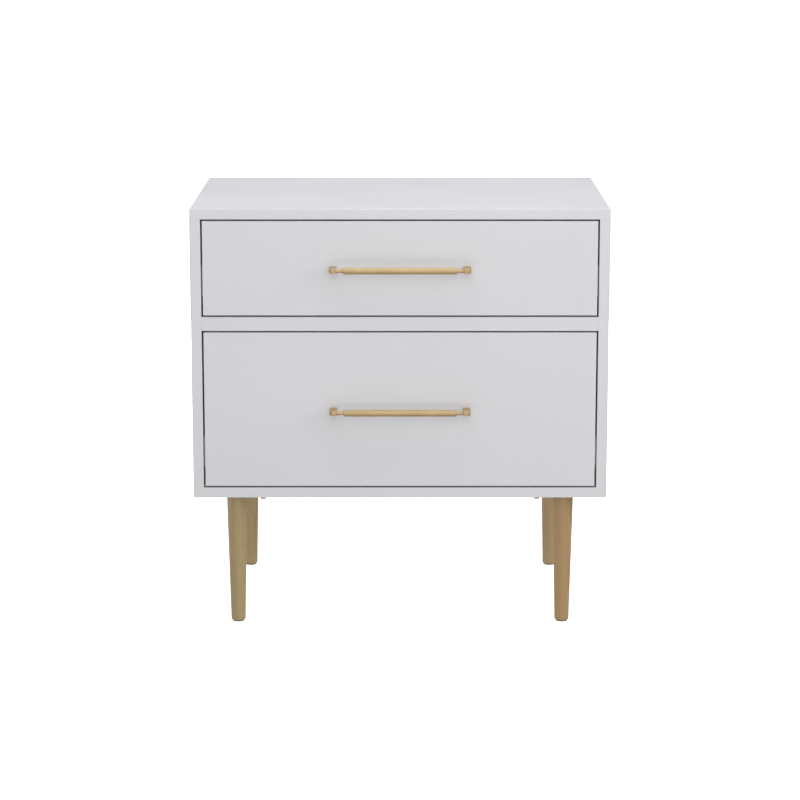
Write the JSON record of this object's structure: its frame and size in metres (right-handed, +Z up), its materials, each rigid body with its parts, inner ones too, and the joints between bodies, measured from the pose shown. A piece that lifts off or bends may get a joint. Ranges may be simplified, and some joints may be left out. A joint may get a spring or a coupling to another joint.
{
  "type": "nightstand with drawers",
  "caption": "White lacquered nightstand with inset drawers, brass bar handles and straight tapered wooden legs.",
  "frame": {"origin": "on the floor, below the middle of the overall size with the handles included", "axes": "+Z up; +Y towards the back, so the drawers open towards -Y; +X to the right seen from the front"},
  "size_m": [0.6, 0.43, 0.618],
  "materials": {
    "white_lacquer": "satin white lacquer on board",
    "white_box_board": "white melamine-faced board",
    "white_hardboard": "white painted hardboard",
    "beech": "fluted beech",
    "light_wood": "clear satin lacquer on turned light wood",
    "satin_brass": "satin",
    "zinc_sheet": "bright zinc-plated sheet",
    "bearing_steel": "polished",
    "cast_zinc": "as cast",
    "zinc_steel": "zinc plated",
    "nylon": "matt, dark brown"
  },
  "bodies": {
    "case": {"top_panel": "white_lacquer", "bottom_panel": "white_lacquer", "left_side_panel": "white_lacquer", "right_side_panel": "white_lacquer", "divider_rail": "white_lacquer", "back_board": "white_hardboard", "case_cam_bolts": "zinc_steel", "case_cam_locks": "cast_zinc", "case_dowels": "beech", "bottom_panel_screws": "zinc_steel", "front_left_leg": "light_wood", "front_right_leg": "light_wood", "back_left_leg": "light_wood", "back_right_leg": "light_wood", "leg_hanger_bolts": "zinc_steel", "leg_plates": "zinc_steel", "leg_plate_screws": "zinc_steel", "foot_glides": "nylon", "upper_left_slide_case_member": "zinc_sheet", "upper_right_slide_case_member": "zinc_sheet", "lower_left_slide_case_member": "zinc_sheet", "lower_right_slide_case_member": "zinc_sheet", "slide_case_screws": "zinc_steel"},
    "upper_drawer": {"upper_drawer_front": "white_lacquer", "upper_drawer_left_side": "white_box_board", "upper_drawer_right_side": "white_box_board", "upper_drawer_back": "white_box_board", "upper_drawer_bottom": "white_hardboard", "upper_slide_drawer_members": "zinc_sheet", "upper_slide_drawer_screws": "zinc_steel", "upper_drawer_cam_bolts": "zinc_steel", "upper_drawer_cam_locks": "cast_zinc", "upper_drawer_box_screws": "zinc_steel", "upper_handle_bar": "satin_brass", "upper_handle_posts": "satin_brass", "upper_handle_screws": "zinc_steel"},
    "lower_drawer": {"lower_drawer_front": "white_lacquer", "lower_drawer_left_side": "white_box_board", "lower_drawer_right_side": "white_box_board", "lower_drawer_back": "white_box_board", "lower_drawer_bottom": "white_hardboard", "lower_slide_drawer_members": "zinc_sheet", "lower_slide_drawer_screws": "zinc_steel", "lower_drawer_cam_bolts": "zinc_steel", "lower_drawer_cam_locks": "cast_zinc", "lower_drawer_box_screws": "zinc_steel", "lower_handle_bar": "satin_brass", "lower_handle_posts": "satin_brass", "lower_handle_screws": "zinc_steel"},
    "upper_middle_members": {"upper_left_slide_middle_member": "zinc_sheet", "upper_right_slide_middle_member": "zinc_sheet"},
    "upper_outer_cages": {"upper_outer_ball_cages": "bearing_steel"},
    "upper_inner_cages": {"upper_inner_ball_cages": "bearing_steel"},
    "lower_middle_members": {"lower_left_slide_middle_member": "zinc_sheet", "lower_right_slide_middle_member": "zinc_sheet"},
    "lower_outer_cages": {"lower_outer_ball_cages": "bearing_steel"},
    "lower_inner_cages": {"lower_inner_ball_cages": "bearing_steel"}
  },
  "joints": [
    {"name": "upper_drawer_slide", "type": "slide", "parent": "case", "child": "upper_drawer", "axis": [0, -1, 0], "range_m": [0, 0.34]},
    {"name": "upper_middle_members_slide", "type": "slide", "parent": "case", "child": "upper_middle_members", "axis": [0, -1, 0], "range_m": [0, 0.17]},
    {"name": "upper_outer_cages_slide", "type": "slide", "parent": "case", "child": "upper_outer_cages", "axis": [0, -1, 0], "range_m": [0, 0.085]},
    {"name": "upper_inner_cages_slide", "type": "slide", "parent": "case", "child": "upper_inner_cages", "axis": [0, -1, 0], "range_m": [0, 0.255]},
    {"name": "lower_drawer_slide", "type": "slide", "parent": "case", "child": "lower_drawer", "axis": [0, -1, 0], "range_m": [0, 0.34]},
    {"name": "lower_middle_members_slide", "type": "slide", "parent": "case", "child": "lower_middle_members", "axis": [0, -1, 0], "range_m": [0, 0.17]},
    {"name": "lower_outer_cages_slide", "type": "slide", "parent": "case", "child": "lower_outer_cages", "axis": [0, -1, 0], "range_m": [0, 0.085]},
    {"name": "lower_inner_cages_slide", "type": "slide", "parent": "case", "child": "lower_inner_cages", "axis": [0, -1, 0], "range_m": [0, 0.255]}
  ],
  "couplings": [
    {"joint": "upper_middle_members_slide", "follows": "upper_drawer_slide", "ratio": 0.5},
    {"joint": "upper_outer_cages_slide", "follows": "upper_drawer_slide", "ratio": 0.25},
    {"joint": "upper_inner_cages_slide", "follows": "upper_drawer_slide", "ratio": 0.75},
    {"joint": "lower_middle_members_slide", "follows": "lower_drawer_slide", "ratio": 0.5},
    {"joint": "lower_outer_cages_slide", "follows": "lower_drawer_slide", "ratio": 0.25},
    {"joint": "lower_inner_cages_slide", "follows": "lower_drawer_slide", "ratio": 0.75}
  ]
}
